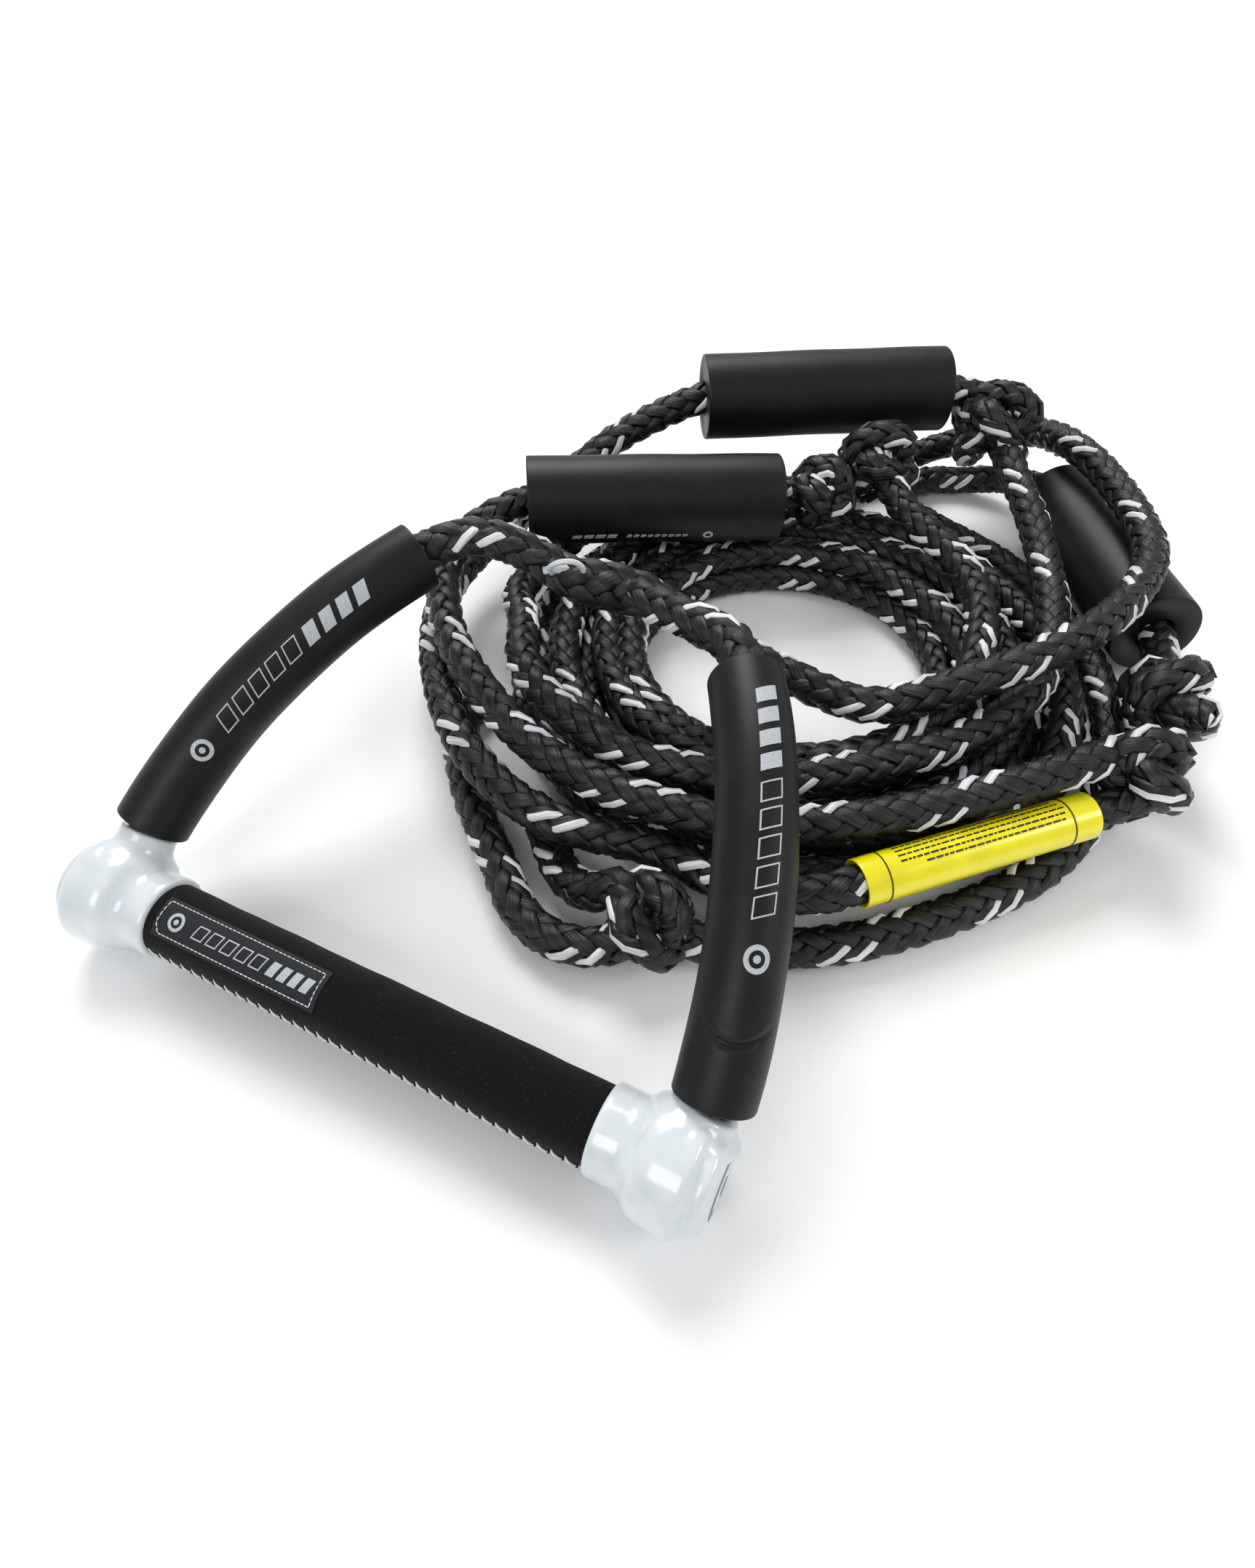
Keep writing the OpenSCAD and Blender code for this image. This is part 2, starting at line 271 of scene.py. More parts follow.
def noise(tree, vector, scale, detail=3.0, roughness=0.55):
    """A noise pattern's value."""
    return add_node(tree, "ShaderNodeTexNoise", links={"Vector": vector},
                    values={"Scale": scale, "Detail": detail, "Roughness": roughness}).outputs["Fac"]


def multiply_add(tree, value, factor, added=None):
    """A value times a factor, plus another value where there is one."""
    if added is None:
        return add_node(tree, "ShaderNodeMath", {"operation": "MULTIPLY"}, {0: value},
                        {1: factor}).outputs["Value"]
    return add_node(tree, "ShaderNodeMath", {"operation": "MULTIPLY_ADD"}, {0: value, 2: added},
                    {1: factor}).outputs["Value"]


def object_place(tree):
    """The place of each point in the piece's own metres."""
    return add_node(tree, "ShaderNodeTexCoord").outputs["Object"]


def mottled(name, colour, roughness, grain_mm, detail, stops, strength, relief_mm, **sockets):
    """A material whose colour and bump follow one noise pattern with a grain of a real size."""
    material, tree, shader = new_material(name, colour, roughness, **sockets)
    pattern = noise(tree, object_place(tree), grain_scale(grain_mm), detail)
    tree.links.new(colour_ramp(tree, pattern, stops), shader.inputs["Base Color"])
    bump(tree, shader, pattern, strength, relief_mm)
    return material


# %% [markdown]
# The rope is a hollow braid of polypropylene filament. Its fibres are finer than a hair and lie
# side by side along each strand, so they shine like brushed hair: streaks along, grain across.
# Real fibres as curves would be millions of them, so they are drawn as a pattern. The braid's UV
# map holds millimetres across the strand and along it, and the pattern is stretched along, with
# fibres drawn 0.8 mm apart, coarser than the real 0.05 mm so that they show. The lightest streaks
# in the yarn's colour are a painted sheen, laid over that grain.


# %% Filament yarn
PER_MM_ALONG = 0.05     # streaks are about 20 mm long


def filament_yarn(name, dark, mid, light, roughness):
    """Streaks along the strand in three shades, with the same streaks as bump; the lightest shade is a
    painted sheen.
    """
    material, tree, shader = new_material(name, mid, roughness, Specular_IOR_Level=0.42)
    place = add_node(tree, "ShaderNodeUVMap", {"uv_map": "UVMap"}).outputs["UV"]

    def streaks(per_mm, detail, grain_roughness):
        scale = (per_mm, PER_MM_ALONG, 1.0)
        stretched = add_node(tree, "ShaderNodeMapping", links={"Vector": place}, values={"Scale": scale})
        return noise(tree, stretched.outputs["Vector"], 1.0, detail, grain_roughness)

    fibres, bundles = streaks(1.3, 4.0, 0.6), streaks(0.5, 2.0, 0.55)
    fibre_grain_and_painted_sheen = multiply_add(tree, multiply_add(tree, fibres, 1.4, bundles), 0.42)
    # the ramp's light stop paints a sheen into the colour, over the fibre grain
    colour = colour_ramp(tree, fibre_grain_and_painted_sheen, [(0.34, dark), (0.5, mid), (0.62, light)])
    tree.links.new(colour, shader.inputs["Base Color"])
    bump(tree, shader, fibres, 0.9, 0.6)
    return material


# the third colour of each yarn is its painted sheen: lighter streaks where the fibres would shine
YARN_BLACK = filament_yarn("polypropylene_black", "#010101", "#060607", "#2c2c2f", 0.36)
YARN_WHITE = filament_yarn("polypropylene_white", "#a9adb2", "#dcdee0", "#f4f4f3", 0.45)
print("yarns:", YARN_BLACK.name, YARN_WHITE.name)


# %% [markdown]
# A braid is made of strands that wind both ways round a tube and pass over and under each other.
# Twelve strands, six each way, each over two and under two, make a herringbone whose V shapes run
# along the rope. In numbers: a strand's angle grows evenly along the rope, and its distance from
# the middle is a wave of three crests per turn that only depends on that angle. The strands that
# wind the other way take the opposite wave, so one is always out where the other is in. A bump
# on a smooth tube would show the same pattern, but its outline would stay straight, and the edge
# of a rope is where one sees that it is braided.


# %% Braid
STRANDS_EACH_WAY = 6
LAY = 66.0          # mm along the rope for one full turn of a strand
CRESTS = 3          # times that a strand comes to the surface in one turn
ROPE_D = 17.0
TRACED = [0, 1]     # two neighbours that wind the same way carry a thin white yarn
# the next four are parts of the rope's radius
STRAND_MIDDLE = 0.655   # how far out a strand runs on the whole
STRAND_SWING = 0.17     # how far it goes in and out from there
STRAND_HALF_W = 0.385
STRAND_HALF_T = 0.185
CREST_SHAPE = 0.7       # a power below 1, which keeps a strand out for longer before it dives
TIP_LENGTH = 9.0    # mm over which a melted end closes
UV_STRETCH = 1.2    # a strand runs aslant, so it is this much longer than the rope


def rounded_tip(from_end):
    """The size of a closing end: the root of the distance from it, up to 1."""
    return np.sqrt(np.clip(from_end / TIP_LENGTH + 0.02, 0, 1))


def braid_points(line, swell=1.0, start_angle=0.0, sides=8, tip=(False, False)):
    """Strand k at step i is an ellipse across its own helix, round a line: returns points and UVs as
    arrays of (strand, step, side)."""
    side, up = frames(line)
    along = distance_along(line)
    size = swell * np.ones(len(line))
    if tip[0]:
        size = size * rounded_tip(along)
    if tip[1]:
        size = size * rounded_tip(along[-1] - along)
    radius = ROPE_D / 2 * size
    k = np.arange(2 * STRANDS_EACH_WAY)
    way = np.where(k < STRANDS_EACH_WAY, 1.0, -1.0)[:, None]
    angle = way * 2 * np.pi * along[None] / LAY + start_angle
    angle = angle + (k % STRANDS_EACH_WAY)[:, None] * 2 * np.pi / STRANDS_EACH_WAY
    wave = np.cos(CRESTS * (angle - np.pi / 12 - start_angle))
    wave = way * np.sign(wave) * np.abs(wave) ** CREST_SHAPE
    out = (STRAND_MIDDLE + STRAND_SWING * wave) * radius
    outward = np.cos(angle)[..., None] * side[None] + np.sin(angle)[..., None] * up[None]
    middle = line[None] + out[..., None] * outward
    run = unit(np.gradient(middle, axis=1))
    across = unit(np.cross(run, outward))
    lift = np.cross(across, run)
    half_w = (STRAND_HALF_W * radius * (1 + 0.08 * wave))[..., None, None]
    half_t = (STRAND_HALF_T * radius * np.ones_like(wave))[..., None, None]
    # a white yarn lies on one edge of its black strand, and sticks out a little further
    shift = (0.16 * across[TRACED] + 0.07 * lift[TRACED]) * radius[None, :, None]
    middle = np.concatenate([middle, middle[TRACED] + shift])
    across, lift = np.concatenate([across, across[TRACED]]), np.concatenate([lift, lift[TRACED]])
    half_w = np.concatenate([half_w, half_w[TRACED] * 0.56])
    half_t = np.concatenate([half_t, half_t[TRACED] * 0.9])
    turn = ring_angles(sides)
    points = (middle[:, :, None] + half_w * np.cos(turn)[:, None] * across[:, :, None]
              + half_t * np.sin(turn)[:, None] * lift[:, :, None])
    # every strand reads its own part of the pattern: 7 mm to the side and 31 mm on from the last
    strand = np.arange(len(middle))[:, None, None]
    width_uv = half_w[..., 0] * np.cos(turn) + 7.0 * strand
    length_uv = np.broadcast_to(along[None, :, None] * UV_STRETCH + 31.0 * strand, width_uv.shape)
    return points, np.stack([width_uv, length_uv], -1)


print(f"a strand shows every {LAY / CRESTS:.0f} mm along the rope")

# %% [markdown]
# The strands of a rope could be separate objects, but they never move apart, so one mesh holds
# them all and its faces say which are black and which are white. A piece can have more than one
# run, such as a knot and the tail that sticks out of it.


# %% Braided pieces
def braid_mesh(runs):
    """Joins the strands of one or more runs, (points, UVs) from braid_points, into one mesh's arrays."""
    points, uvs, faces, kinds, start = [], [], [], [], 0
    for p, uv in runs:
        strands, steps, sides = p.shape[:3]
        for k in range(strands):
            strand = closed_tube_faces(steps, sides, start + k * steps * sides)
            faces += strand
            kinds += [1 if k >= 2 * STRANDS_EACH_WAY else 0] * len(strand)
        points.append(p.reshape(-1, 3))
        uvs.append(uv.reshape(-1, 2))
        start += strands * steps * sides
    return np.vstack(points), faces, kinds, np.vstack(uvs)


def braided(name, runs, *nodes):
    """A braided piece that stands for some of the frame's plain solids."""
    points, faces, kinds, uvs = braid_mesh(runs)
    piece = make_piece(name, points, faces, [YARN_BLACK, YARN_WHITE], uv=uvs, face_material=kinds)
    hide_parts(*nodes)


# %% [markdown]
# Rope laid down by hand has no rule to it, so its routes are lists of points, and they are the
# model's own, point for point. A rope simulation could drop them on the floor, but they would
# fall into folds of their own. The coil does follow a rule and is worked out turn by turn: four
# turns on the floor, from the inside out, then three on top, from the outside in, each a little
# wider apart than the rope is thick, with a small sway. Its last turn climbs off the coil and
# becomes the rope that crosses to the knot behind the front grip.


# %% Routes
BRAID_STEP = 4.5    # mm between the rings of a strand

LEFT_FLOAT_AXIS = [[-117, 21, 39], [-97, 81, 77], [-65, 147, 101]]
RIGHT_FLOAT_AXIS = [[123, 15, 38], [112, 67, 77], [80, 138, 98]]
FRONT_GRIP_AXIS = np.array([[-83, 259, 58], [29, 326, 53]], dtype=float)
BACK_GRIP_AXIS = np.array([[-32, 369, 75], [84, 437, 75]], dtype=float)
SIDE_GRIP_AXIS = np.array([[227, 331, 28], [163, 439, 25]], dtype=float)
SLEEVE_AXIS = np.array([[139, 121, 30], [213, 195, 30]], dtype=float)
COIL_CENTRE = np.array([70.0, 251.0])

left_leg = np.vstack([[[-118, 4, 27]], arc_route(*LEFT_FLOAT_AXIS, 6, 6),
                      [[-49, 166, 103], [-32, 173, 97], [-11, 176, 88]]])
right_leg = np.vstack([[[120, 4, 28]], arc_route(*RIGHT_FLOAT_AXIS, 6, 6),
                       [[69, 154, 98], [57, 161, 96], [19, 175, 89]]])
main = [[18, 187, 81], [46, 197, 62], [80, 203, 47], [118, 202, 46], [150, 219, 57],
        [184, 254, 64], [204, 297, 63], [210, 351, 60], [181, 415, 59], [160, 438, 59],
        [138, 467, 47], [110, 476, 33], [80, 471, 19], [58, 448, 10], [38, 420, 9],
        [4, 399, 12], [-34, 366, 23], [-62, 318, 26], [-72, 264, 26], [-69, 222, 30], [-50, 195, 37]]
inner = [[-50, 195, 37], [-32, 165, 42], [0, 143, 42], [46, 135, 41], [92, 147, 41],
         [132, 176, 41], [164, 213, 41], [180, 257, 41], [177, 309, 41], [158, 367, 45], [126, 424, 57]]
sleeve = [[103, 446, 71], [84, 437, 75], [-32, 369, 75], [-66, 337, 61], [-94, 293, 38],
          [-107, 249, 29], [-102, 203, 29], [-74, 154, 29], [-30, 114, 29], [14, 99, 28],
          [62, 107, 24], [98, 102, 27], [130, 112, 30], [220, 202, 30], [227, 211, 33]]
upper = [[40, 333, 54], [29, 326, 53], [-83, 259, 58], [-99, 233, 53], [-98, 203, 48],
         [-72, 165, 46], [-38, 140, 42], [2, 121, 40], [46, 115, 41], [92, 122, 40], [136, 146, 41],
         [180, 182, 44], [214, 216, 46]]
lower = [[84, 79, 14], [104, 87, 9], [140, 106, 9], [176, 139, 9], [206, 179, 9],
         [220, 223, 9], [221, 265, 9], [212, 303, 9], [196, 334, 9],
         [174, 363, 9], [146, 387, 9], [100, 408, 9]]
side_run = [[233, 279, 37], [231, 305, 31], [227, 331, 28], [163, 439, 25], [150, 456, 21],
            [130, 465, 15], [106, 464, 9], [86, 454, 9], [78, 437, 9], [83, 419, 9], [100, 408, 9]]
crossing = [[73, 371, 55], [94, 349, 49], [126, 329, 42], [146, 297, 41], [152, 263, 41]]
loop_near = [[60, 80, 30], [44, 80, 18], [26, 90, 9], [-6, 122, 9]]
loop_far = [[60, 64, 13], [42, 59, 10], [22, 64, 9], [0, 82, 9], [-40, 119, 9], [-58, 147, 9],
            [-56, 170, 9]]

COIL_TURNS = 7.05
POINTS_PER_TURN = 30


def coil_route():
    """Turns round the coil's centre: the radius and the height are read from a short table by turn."""
    turns = np.arange(0, COIL_TURNS, 1 / POINTS_PER_TURN)
    radius = np.interp(turns, [0, 3, 3.9, 4.15, 6.2, 6.93, 7.05], [71, 132.5, 132.5, 122, 81.5, 81.5, 83])
    height = np.interp(turns, [0, 3.75, 4.1, 6.72, 6.93, 7.05], [9, 9, 22, 22, 34, 40])
    radius = radius + 1.4 * np.sin(turns * 11.3) * np.sin(turns * 1.9)
    # the last turn ends where the crossing rope begins, a little to the right of the hole
    angle = 2 * np.pi * (turns - turns[-1]) + math.radians(2)
    return np.stack([COIL_CENTRE[0] + radius * np.cos(angle), COIL_CENTRE[1] + radius * np.sin(angle),
                     height], axis=1)


def keep_straight(route, start, end):
    """Adds four points along one straight stretch of a route, so that the spline doesn't bow there."""
    route = np.asarray(route, dtype=float)
    a, b = np.array(start, dtype=float), np.array(end, dtype=float)
    place = int(np.argmin(np.linalg.norm(route - a, axis=1))) + 1
    inside = [a + (b - a) * t for t in (0.05, 0.3, 0.7, 0.95)]
    return np.vstack([route[:place], inside, route[place:]]).tolist()


upper = keep_straight(upper, upper[1], upper[2])
sleeve = keep_straight(sleeve, sleeve[1], sleeve[2])
sleeve = keep_straight(sleeve, [130, 112, 30], [220, 202, 30])
side_run = keep_straight(side_run, side_run[2], side_run[3])
coil = np.vstack([coil_route(), crossing[::-1]])
print("points on the coil:", len(coil))

# %% [markdown]
# Each stretch of rope is a braid along its own route. One braid for the whole rope would be a very
# large mesh, and the knots hide where most stretches meet. The ends that show get a rounded,
# melted tip, as the ends of synthetic rope are sealed with a flame.


def rope_cord(name, route, nodes, start_angle=0.0, tip=(False, False),
              step=BRAID_STEP, sides=8):
    """A braid along a route."""
    line = smooth_route(route, step)
    braided(name, [braid_points(line, start_angle=start_angle, tip=tip, sides=sides)], *nodes)


rope_cord("left_leg_braid", left_leg, ["left_bridle_rope"], start_angle=0.4)
rope_cord("right_leg_braid", right_leg, ["right_bridle_rope"], start_angle=1.3)
rope_cord("main_braid", main + inner[1:], ["main_rope", "inner_rope"], start_angle=2.2)
rope_cord("sleeve_braid", sleeve, ["sleeve_rope"], start_angle=0.9)
rope_cord("upper_braid", upper, ["upper_rope"], start_angle=1.9)
rope_cord("lower_braid", lower + side_run[::-1][1:], ["lower_rope", "side_rope"], start_angle=0.2)
rope_cord("coil_braid", coil, ["rope_coil", "crossing_rope"], start_angle=1.1,
          tip=(True, False), step=5.0, sides=7)
rope_cord("boat_loop_braid", loop_near[::-1] + [[70, 73, 22]] + loop_far, ["boat_loop"],
          start_angle=2.7, tip=(True, True))

# %% [markdown]
# Each stopper on the rope is an overhand knot pulled tight. Its route could be drawn by hand, but
# an overhand knot with its ends joined is a trefoil, which is a curve on a ring: twice round the
# ring while it goes three times through the hole. The braid is laid along that curve at the
# rope's full thickness, so that its turns press together.


# %% Knots
KNOT_STEP = 3.6     # mm between the rings of a strand, which bends more here than in a run


def knot_line(at, radius, axis, start=0.0):
    """A trefoil: (2 + cos 3t) round an axis at angle 2t, with height sin 3t."""
    t = np.linspace(0, 2 * np.pi, 100) + start
    wide = (radius - ROPE_D / 2) / 3
    tall = 0.86 * radius - ROPE_D / 2
    z = unit(np.array(axis, dtype=float))
    x = unit(np.cross(z, [0.31, 0.22, 1.0]))
    y = np.cross(z, x)
    out = (2 + np.cos(3 * t))[:, None] * wide
    line = (np.array(at, dtype=float) + out * np.cos(2 * t)[:, None] * x
            + out * np.sin(2 * t)[:, None] * y + tall * np.sin(3 * t)[:, None] * z)
    return resample(line, KNOT_STEP)


def knot(name, node, at, radius, axis, tail=None, start=0.0):
    """A braided knot, with a short sealed tail where the real one has one."""
    runs = [braid_points(knot_line(at, radius, axis, start))]
    if tail is not None:
        runs.append(braid_points(smooth_route(tail, KNOT_STEP), tip=(False, True)))
    braided(name, runs, node)


knot("front_knot_braid", "front_knot", [50, 338, 55], 20, [0.85, 0.5, 0.2])
knot("front_outer_knot_braid", "front_outer_knot", [69, 378, 57], 23, [0.5, 0.9, 0.3], start=0.6)
knot("back_knot_braid", "back_knot", [118, 438, 59], 26, [0.8, 0.6, -0.2], start=1.1)
knot("side_upper_knot_braid", "side_upper_knot", [233, 267, 39], 23.5, [0.1, 1.0, 0.1],
     tail=[[236, 262, 42], [244, 254, 48], [246, 243, 51]], start=0.3)
knot("side_lower_knot_braid", "side_lower_knot", [229, 220, 38], 22, [0.35, 1.0, -0.1], start=1.7)
knot("loop_knot_braid", "loop_knot", [72, 77, 21], 20.5, [1.0, 0.25, -0.1], start=0.9)
for side_name, x in (("left", -118), ("right", 118)):
    knot(f"{side_name}_stopper_braid", f"{side_name}_stopper_knot", [x, -3, 22], 14.5, [1, 0, 0])

# %% [markdown]
# Where the two legs of the handle's rope meet the main rope they are spliced: the strands of one
# are woven into the other, and the rope swells there. The same braid does it, with a size that
# rises and falls along it. A white yarn pulled out of the weave stands up in a small loop.

# %% Splice
SPLICE_ROUTE = [[-22, 175, 92], [-10, 176, 88], [5, 181, 85], [20, 187, 80], [30, 191, 73]]
YARN_ROUTE = [[-16, 168, 94], [-15, 165, 99], [-11, 166, 102], [-6, 170, 101], [-4, 173, 96],
              [-6, 173, 92]]
YARN_STEP, YARN_SIDES = 0.8, 8

splice_line = smooth_route(SPLICE_ROUTE, KNOT_STEP)
splice_swell = 1.0 + 0.3 * np.sin(np.linspace(0, np.pi, len(splice_line))) ** 1.5
braided("splice_braid", [braid_points(splice_line, swell=splice_swell, start_angle=0.5)], "bridle_splice")


def round_sweep(line, side, up, radius, count):
    """Rings of points round a line: at each angle, cosine times sideways plus sine times upwards."""
    a = ring_angles(count)[:, None]
    return line[:, None] + radius * (np.cos(a) * side[:, None] + np.sin(a) * up[:, None])


def yarn_loop(name, route, radius):
    """One white yarn pulled out of the splice in a small loop: a round tube along a short route."""
    line = smooth_route(route, YARN_STEP)
    points = round_sweep(line, *frames(line), radius, YARN_SIDES).reshape(-1, 3)
    length, around = np.meshgrid(np.arange(len(line)) * YARN_STEP, ring_angles(YARN_SIDES) * radius,
                                 indexing="ij")
    piece = make_piece(name, points, closed_tube_faces(len(line), YARN_SIDES), [YARN_WHITE],
                       uv=np.stack([around, length], -1).reshape(-1, 2))


yarn_loop("splice_yarn_loop", YARN_ROUTE, 1.2)

# %% [markdown]
# Two dull black finishes come next. Closed-cell foam has a thin skin with cells of about half a
# millimetre and faint clouds of wear, and the wrap of the bar is a suede-like cloth with a short
# nap and specks of pale dust. One dark colour would do for both from far away, but close by the
# eye tells them apart by grain and by shine: the foam has some, the suede almost none.

# %% Foam and suede
foam, foam_tree, foam_shader = new_material("eva_foam_skin", "#0a0a0b", 0.46, Specular_IOR_Level=0.3)
foam_cells = noise(foam_tree, object_place(foam_tree), grain_scale(0.5), 2.0)
foam_clouds = noise(foam_tree, object_place(foam_tree), grain_scale(14), 3.0)
foam_colour = colour_ramp(foam_tree, multiply_add(foam_tree, foam_cells, 0.35, foam_clouds),
                          [(0.45, "#060607"), (0.75, "#0d0d0f"), (0.88, "#17171a")])
foam_tree.links.new(foam_colour, foam_shader.inputs["Base Color"])
bump(foam_tree, foam_shader, foam_cells, 0.35, 0.12)

suede, suede_tree, suede_shader = new_material("suede_wrap", "#040405", 0.9, Sheen_Weight=0.05,
                                               Sheen_Roughness=0.6, Specular_IOR_Level=0.15)
suede_nap = noise(suede_tree, object_place(suede_tree), grain_scale(0.7), 4.0, 0.7)
suede_dust = noise(suede_tree, object_place(suede_tree), grain_scale(0.55), 1.0)
suede_colour = colour_ramp(suede_tree, suede_dust, [(0.0, "#030304"), (0.7, "#060607"), (0.77, "#3e3e3e")])
suede_tree.links.new(suede_colour, suede_shader.inputs["Base Color"])
bump(suede_tree, suede_shader, suede_nap, 0.6, 0.25)
print("soft finishes:", foam.name, suede.name)

# %% [markdown]
# The hard finishes are simpler: moulded nylon, vinyl tube, printing ink, waxed thread and woven
# label cloth each have one pattern, which serves for the colour and for the relief. The nylon and
# the vinyl have a clear, even shine over their colour, which the shader's coat gives.

# %% Nylon, vinyl, ink, thread and label cloth
gloss = mottled("moulded_nylon_white", "#d6dce0", roughness=0.18, grain_mm=9, detail=2.0,
                stops=[(0.3, "#cfd6da"), (0.7, "#dbe0e3")], strength=0.05, relief_mm=0.2,
                Coat_Weight=0.35, Coat_Roughness=0.08, Subsurface_Weight=0.08, Subsurface_Scale=0.004)
vinyl = mottled("vinyl_tube_yellow", "#f0e000", roughness=0.24, grain_mm=12, detail=3.0,
                stops=[(0.3, "#e6d800"), (0.7, "#f8ea08")], strength=0.2, relief_mm=0.4,
                Coat_Weight=0.4, Coat_Roughness=0.1)


def fine_mottle(name, colour, light, roughness):
    """Ink, thread or cloth, with a fine mottle so that it isn't one flat colour."""
    return mottled(name, colour, roughness, grain_mm=0.4, detail=2.0,
                   stops=[(0.3, colour), (0.7, light)], strength=0.3, relief_mm=0.08)


PRINT_PALE = fine_mottle("screen_print_pale_grey", "#9da1a6", "#c3c6ca", 0.5)
PRINT_GREY = fine_mottle("pad_print_dark_grey", "#55595d", "#6f7377", 0.35)
PRINT_BLACK = fine_mottle("screen_print_black", "#1c1a0c", "#302d16", 0.4)
THREAD_WHITE = fine_mottle("waxed_thread_white", "#c9c9c4", "#efefe9", 0.6)
THREAD_BLACK = fine_mottle("waxed_thread_black", "#070707", "#141414", 0.6)
LABEL_CLOTH = fine_mottle("woven_label_navy", "#06080d", "#10131c", 0.75)
print("materials:", len(bpy.data.materials))

# %% [markdown]
# The floats and grips are tubes cut from foam that is extruded and sawn to length, so the sides
# are smooth with faint waves and the ends have a crisp but soft edge. A cylinder with a hole cut
# in it and a bevel would come close, but here one closed profile, with its radius at stations
# along the tube, is carried round the tube's line, which may be bent, and takes waves and a fold.


# %% Foam tubes
TUBE_SIDES = 72
FLOAT_R, GRIP_FOAM_R, FOAM_BORE_R = 14, 22, 9.5
STATION = 0.9       # mm between the rings of a tube
WOBBLE = 0.12       # mm of waves in the foam's skin
GRIP_BOW = 0.3      # mm that a grip rises in its middle


def tube_profile(length, outer, bore, edge=0.8):
    """Stations along a tube and the radius at each: up a rounded edge, along the outside, down the
    other edge and back through the bore."""
    a = np.linspace(0, np.pi / 2, 5)
    up = np.stack([edge * (1 - np.cos(a)), outer - edge + edge * np.sin(a)], 1)
    stations = np.linspace(edge, length - edge, int(length / STATION))[1:-1]
    side = np.stack([stations, np.full(len(stations), outer)], 1)
    down = np.stack([length - up[::-1, 0], up[::-1, 1]], 1)
    inside = np.stack([np.linspace(length, 0, 12), np.full(12, bore)], 1)
    return np.vstack([up, side, down, inside])


def foam_tube(name, node, line, outer, body, dent=None):
    """A foam tube round a line. Its rings are the profile's radii at the profile's stations."""
    side, up = frames(line)
    along = distance_along(line)
    profile = tube_profile(along[-1], outer, FOAM_BORE_R)
    s, a = profile[:, :1], ring_angles(TUBE_SIDES)[None]
    middle = read_at(profile[:, 0], along, line)
    side, up = (unit(read_at(profile[:, 0], along, values)) for values in (side, up))
    outside = profile[:, 1:] > FOAM_BORE_R + 1
    radius = profile[:, 1:] + WOBBLE * np.sin(s * 0.11 + 1.7 * np.sin(a)) * outside
    if dent is not None:
        radius = radius - dent(s, a) * outside
    points = round_sweep(middle, side, up, radius[..., None], TUBE_SIDES)
    faces = quad_faces(len(profile), TUBE_SIDES, close_rows=True)
    piece = make_piece(name, points.reshape(-1, 3), faces[:, ::-1], [foam], body=body)
    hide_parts(node)


def crease(s, a):
    """A curved fold near the lower end, on the side that faces up and forward: a narrow dip at s =
    21 + 7 times the angle squared, a low ridge 3 mm beyond it, both fading to the sides."""
    from_middle = np.mod(a - 1.5 + np.pi, 2 * np.pi) - np.pi
    beyond = s - (21 + 7 * from_middle ** 2)
    fade = np.exp(-(from_middle / 0.75) ** 4)
    return fade * (1.7 * np.exp(-(beyond / 0.9) ** 2) - 0.45 * np.exp(-((beyond - 3) / 2.2) ** 2))


def straight_line(axis, bow=0.0):
    """Points from one end to the other, with a slight bow upwards in the middle."""
    t = np.linspace(0, 1, 40)[:, None]
    return axis[0] + (axis[1] - axis[0]) * t + np.array([0, 0, bow]) * np.sin(np.pi * t)


left_float_line = arc_route(*LEFT_FLOAT_AXIS, 0, 60)
right_float_line = arc_route(*RIGHT_FLOAT_AXIS, 0, 60)
foam_tube("left_float_foam", "left_bridle_float", left_float_line, FLOAT_R, "left_float")
foam_tube("right_float_foam", "right_bridle_float", right_float_line, FLOAT_R, "right_float", crease)
for grip, axis in (("front", FRONT_GRIP_AXIS), ("back", BACK_GRIP_AXIS), ("side", SIDE_GRIP_AXIS)):
    foam_tube(f"{grip}_grip_foam", f"{grip}_rope_grip", straight_line(axis, GRIP_BOW), GRIP_FOAM_R,
              f"{grip}_grip")

# %% [markdown]
# The printing is plain decoration: slanted bars, some filled and some in outline, and a ring. It
# could be a pattern in the foam's material, but then its edges would have no thickness. So a bar
# is a small flat grid in millimetres along and across the tube, and a row is a loop of bars.


# %% Printed bars
LEAN = 0.35         # how far a bar leans along for each millimetre across


def bar_grid(s0, s1, w0, w1, slant, columns=8, rows=8):
    """A slanted bar: s0 to s1 along and w0 to w1 across, with slant times across added to along."""
    u, v = np.meshgrid(np.linspace(0, 1, columns), np.linspace(0, 1, rows), indexing="ij")
    w = w0 + (w1 - w0) * v
    return np.stack([s0 + (s1 - s0) * u + slant * w, w], -1)


def outline_grids(s0, s1, w0, w1, slant, line_w=0.5):
    """Four thin bars round a slanted bar."""
    return [bar_grid(s0, s1, w0, w0 + line_w, slant), bar_grid(s0, s1, w1 - line_w, w1, slant),
            bar_grid(s0, s0 + line_w, w0, w1, slant), bar_grid(s1 - line_w, s1, w0, w1, slant)]


def ring_grid(s, w, inner_r, outer_r, count=33):
    """A flat ring round a point."""
    a, r = np.meshgrid(np.linspace(0, 2 * np.pi, count), np.array([inner_r, outer_r]), indexing="ij")
    return np.stack([s + r * np.cos(a), w + r * np.sin(a)], -1)


def bar_row(start, height, count, width, gap, slant, outlined, line_w=0.5):
    """A row of equal bars, filled or in outline."""
    grids = []
    for i in range(count):
        s0 = start + i * (width + gap)
        if outlined:
            grids += outline_grids(s0, s0 + width, -height / 2, height / 2, slant, line_w)
        else:
            grids.append(bar_grid(s0, s0 + width, -height / 2, height / 2, slant))
    return grids


